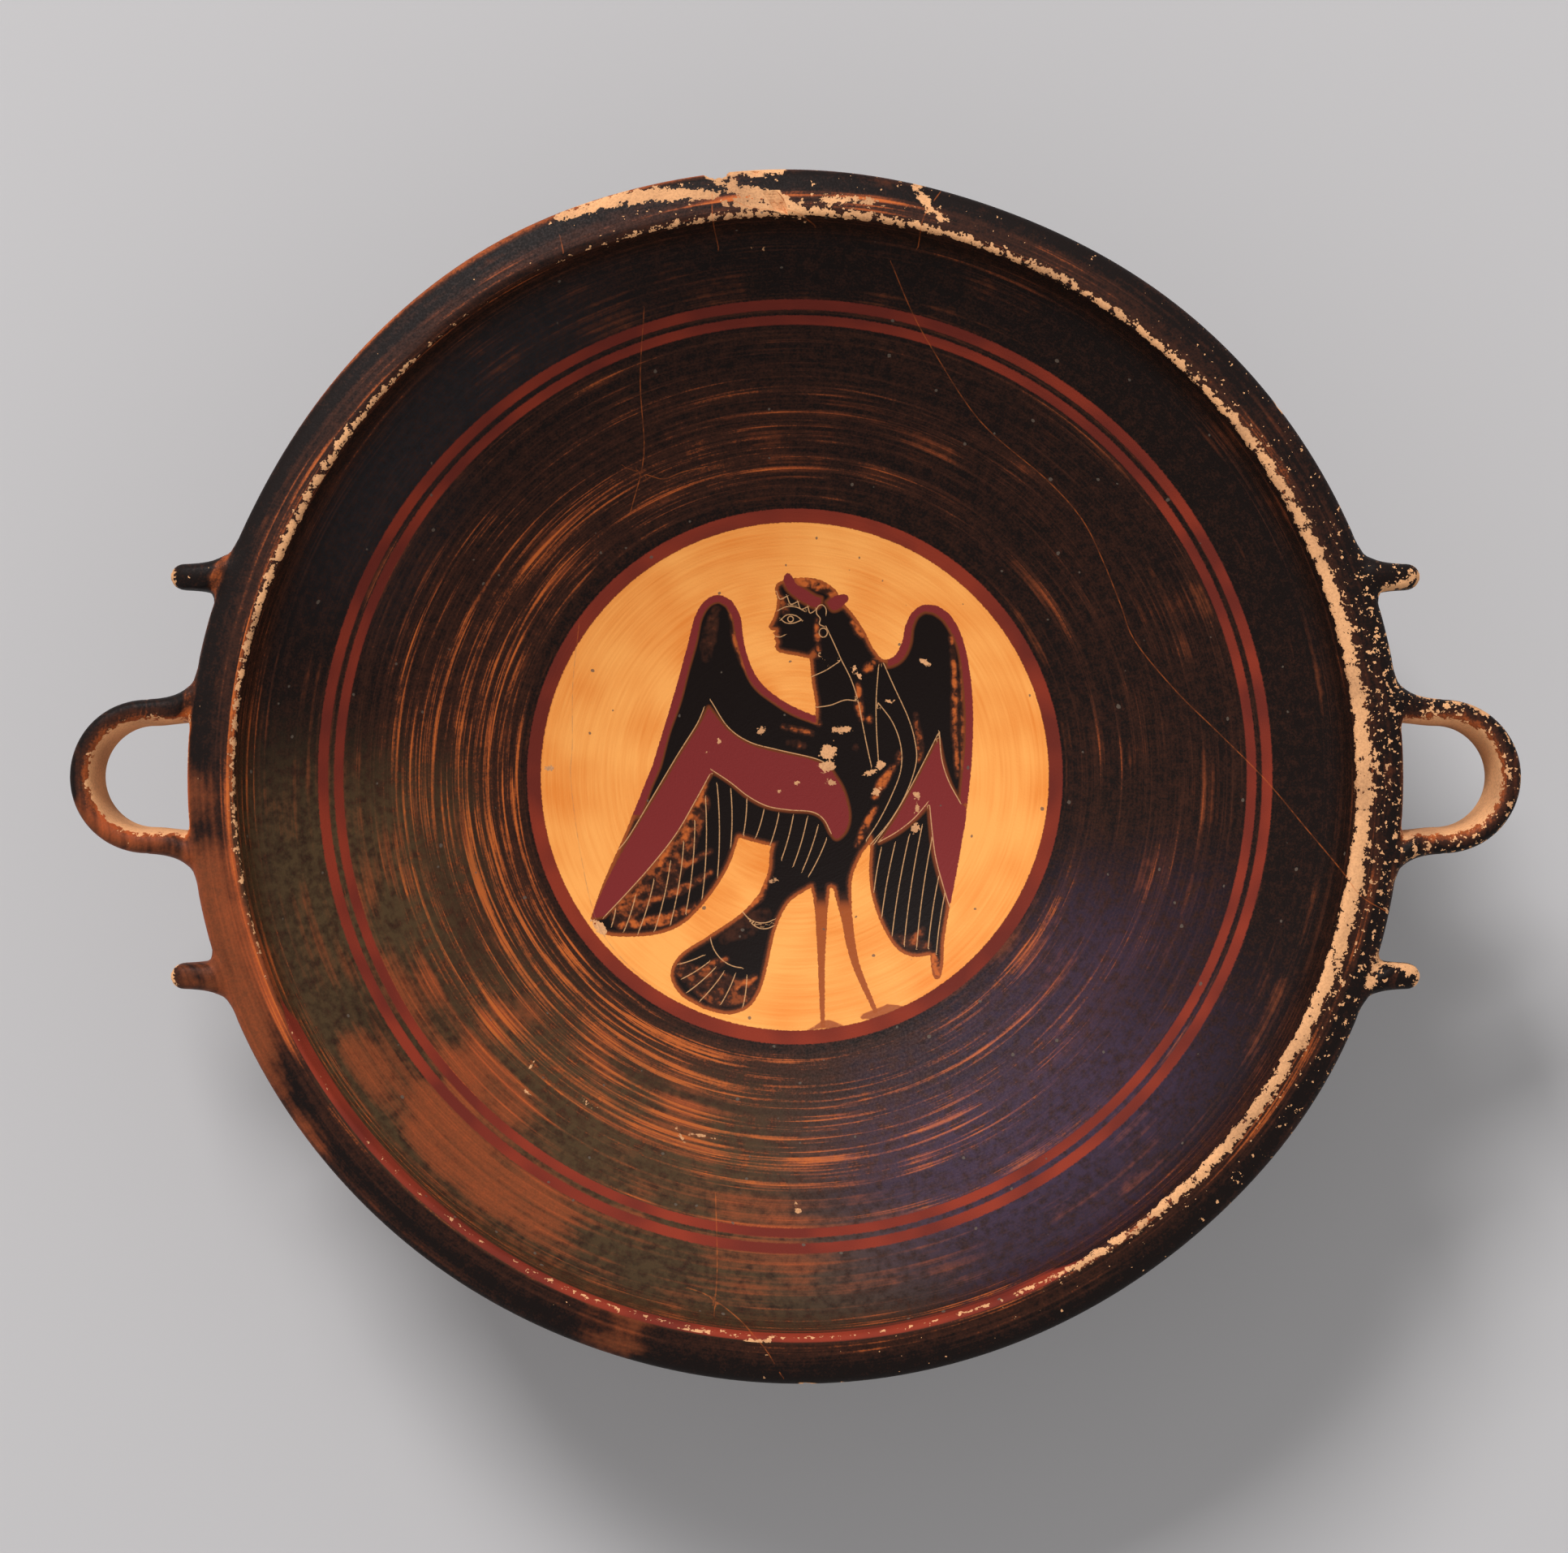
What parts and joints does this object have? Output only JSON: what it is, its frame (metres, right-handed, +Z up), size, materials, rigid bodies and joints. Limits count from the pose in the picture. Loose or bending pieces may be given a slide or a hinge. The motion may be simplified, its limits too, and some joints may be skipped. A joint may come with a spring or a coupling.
{
  "type": "greek kylix cup",
  "caption": "Wide shallow drinking cup of fired clay with a broad rim, loop handles, short rim spurs and a low flaring foot.",
  "frame": {"origin": "on the axis of the bowl, on the plane that the foot stands on", "axes": "+X along the line through the handles, +Y across it, +Z up"},
  "size_m": [0.3592, 0.2996, 0.098],
  "materials": {
    "glazed_clay": "black-glazed terracotta, satin, with red, orange and bare clay where painted, misfired or worn"
  },
  "bodies": {
    "root": {"kylix": "glazed_clay"}
  },
  "joints": []
}
